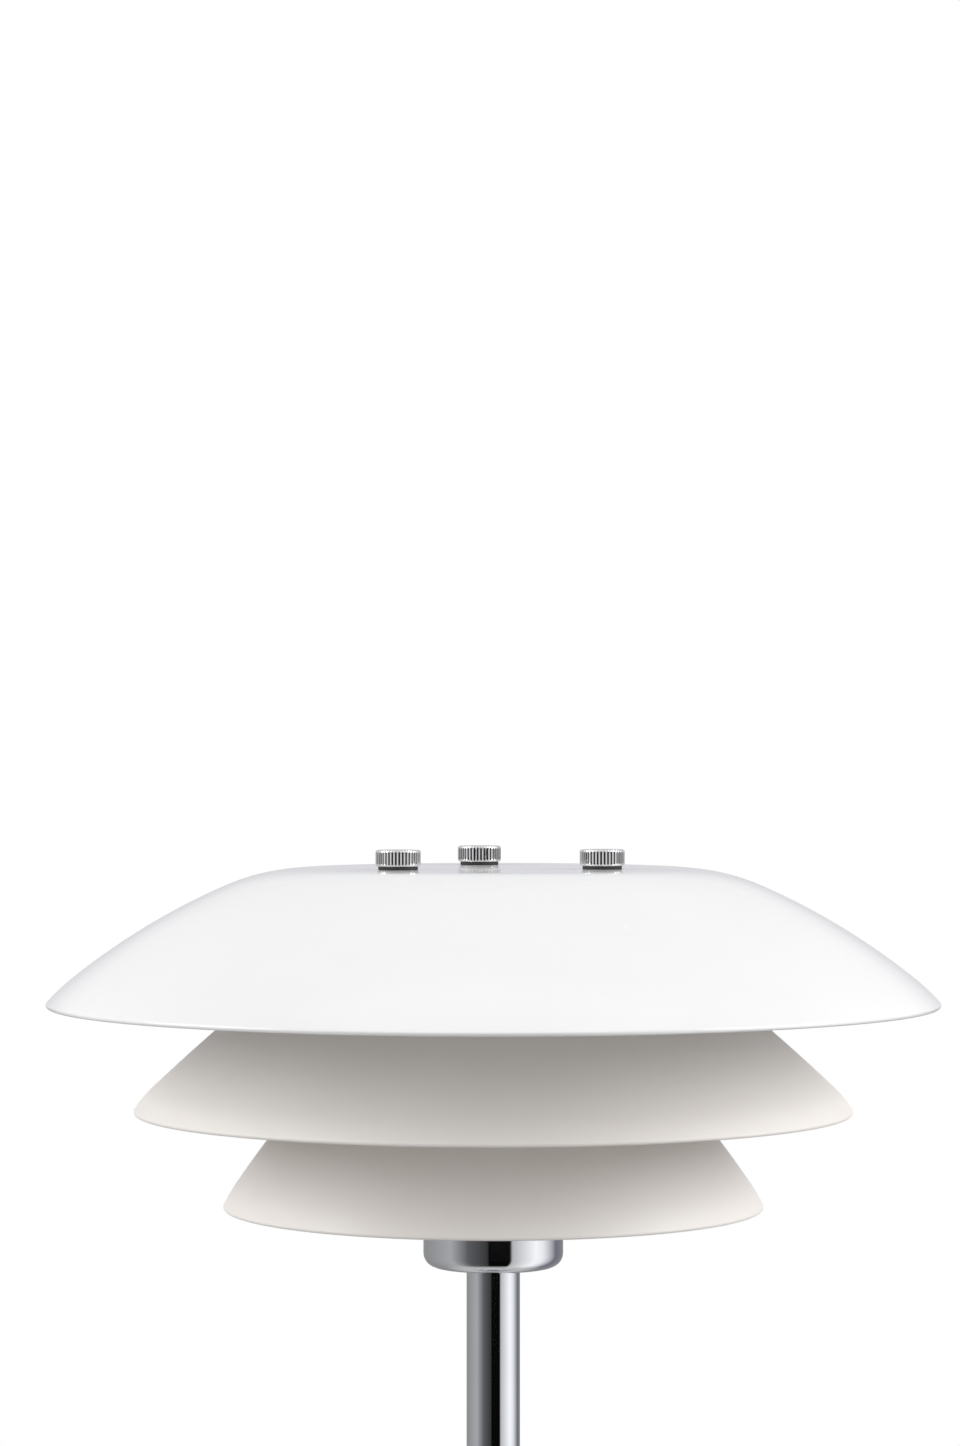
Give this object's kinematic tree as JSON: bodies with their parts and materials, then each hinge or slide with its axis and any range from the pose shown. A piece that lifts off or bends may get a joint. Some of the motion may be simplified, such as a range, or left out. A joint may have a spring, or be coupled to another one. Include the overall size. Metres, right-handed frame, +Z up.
{
  "type": "table lamp",
  "caption": "Table lamp with a weighted round base, a slim stem and a head of stacked round shades, widest on top, held by knurled thumb nuts on threaded rods.",
  "frame": {"origin": "on the table, under the middle of the stem", "axes": "+Z up along the stem, -Y towards the viewer of the picture, cable outlet on +Y"},
  "size_m": [0.2, 0.2, 0.36],
  "materials": {
    "felt": "dense wool felt",
    "zinc_steel": "bright zinc plate",
    "cast_iron": "as cast, oiled",
    "chrome": "polished chrome plate",
    "black_nylon": "moulded",
    "clear_nylon": "moulded, translucent",
    "brass": "turned",
    "brown_sleeving": "extruded",
    "blue_sleeving": "extruded",
    "black_phenolic": "moulded, half gloss",
    "steatite": "fired, unglazed",
    "contact_bronze": "stamped strip",
    "frosted_glass": "etched inside",
    "pin_wire": "drawn wire",
    "light_board": "fired board with a yellow phosphor layer",
    "white_lacquer": "smooth white lacquer, gloss on the top plate and half gloss inside",
    "black_rubber": "moulded",
    "satin_nickel": "satin nickel plate",
    "bright_nickel": "bright nickel plate, knurled"
  },
  "bodies": {
    "lamp": {"ballast": "cast_iron", "base_cover": "chrome", "base_plate": "zinc_steel", "base_plate_screws": "zinc_steel", "bottom_shade": "white_lacquer", "bottom_shade_washers": "black_rubber", "cable_outlet_bush": "black_nylon", "contact_clips": "contact_bronze", "felt_pad": "felt", "holder_cup": "chrome", "lampholder_base": "black_phenolic", "lampholder_core": "steatite", "lampholder_screws": "zinc_steel", "lampholder_sleeve": "black_phenolic", "live_wire": "brown_sleeving", "lock_nut": "zinc_steel", "lock_washer": "zinc_steel", "lower_nipple": "zinc_steel", "lower_spacer_back": "satin_nickel", "lower_spacer_left": "satin_nickel", "lower_spacer_right": "satin_nickel", "middle_shade": "white_lacquer", "middle_shade_washers": "black_rubber", "middle_spacer_back": "satin_nickel", "middle_spacer_left": "satin_nickel", "middle_spacer_right": "satin_nickel", "neutral_wire": "blue_sleeving", "rod_nuts": "zinc_steel", "shade_ring": "black_phenolic", "shade_rod_back": "zinc_steel", "shade_rod_left": "zinc_steel", "shade_rod_right": "zinc_steel", "spider": "zinc_steel", "stem_nut": "zinc_steel", "stem_tube": "chrome", "stem_washer": "zinc_steel", "terminal_block": "clear_nylon", "terminal_block_screw": "zinc_steel", "terminal_inserts": "brass", "terminal_screws": "zinc_steel", "thumb_nut_washer_back": "black_rubber", "thumb_nut_washer_left": "black_rubber", "thumb_nut_washer_right": "black_rubber", "top_shade": "white_lacquer", "top_shade_washers": "black_rubber", "upper_nipple": "zinc_steel", "upper_spacer_back": "satin_nickel", "upper_spacer_left": "satin_nickel", "upper_spacer_right": "satin_nickel"},
    "thumb_insert_right": {"thumb_nut_insert_right": "brass"},
    "thumb_nut_right": {"thumb_nut_right": "bright_nickel"},
    "thumb_insert_back": {"thumb_nut_insert_back": "brass"},
    "thumb_nut_back": {"thumb_nut_back": "bright_nickel"},
    "thumb_insert_left": {"thumb_nut_insert_left": "brass"},
    "thumb_nut_left": {"thumb_nut_left": "bright_nickel"},
    "bulb": {"bulb_foot": "steatite", "bulb_envelope": "frosted_glass", "bulb_pins": "pin_wire", "bulb_light_board": "light_board"}
  },
  "joints": [
    {"name": "thumb_nut_right_turn", "type": "hinge", "parent": "thumb_insert_right", "child": "thumb_nut_right", "pos_m": [0.02421, -0.01028, 0.3563], "axis": [0, 0, 1], "range_deg": [0, 1080]},
    {"name": "thumb_nut_right_rise", "type": "slide", "parent": "lamp", "child": "thumb_insert_right", "axis": [0, 0, 1], "range_m": [0, 0.0021]},
    {"name": "thumb_nut_back_turn", "type": "hinge", "parent": "thumb_insert_back", "child": "thumb_nut_back", "pos_m": [-0.0032, 0.0261, 0.3563], "axis": [0, 0, 1], "range_deg": [0, 1080]},
    {"name": "thumb_nut_back_rise", "type": "slide", "parent": "lamp", "child": "thumb_insert_back", "axis": [0, 0, 1], "range_m": [0, 0.0021]},
    {"name": "thumb_nut_left_turn", "type": "hinge", "parent": "thumb_insert_left", "child": "thumb_nut_left", "pos_m": [-0.021, -0.01583, 0.3563], "axis": [0, 0, 1], "range_deg": [0, 1080]},
    {"name": "thumb_nut_left_rise", "type": "slide", "parent": "lamp", "child": "thumb_insert_left", "axis": [0, 0, 1], "range_m": [0, 0.0021]},
    {"name": "bulb_pull", "type": "slide", "parent": "lamp", "child": "bulb", "axis": [0, 0, 1], "range_m": [0, 0.01]}
  ],
  "couplings": [
    {"joint": "thumb_nut_right_turn", "follows": "thumb_nut_right_rise", "rad_per_m": 8976},
    {"joint": "thumb_nut_back_turn", "follows": "thumb_nut_back_rise", "rad_per_m": 8976},
    {"joint": "thumb_nut_left_turn", "follows": "thumb_nut_left_rise", "rad_per_m": 8976}
  ]
}
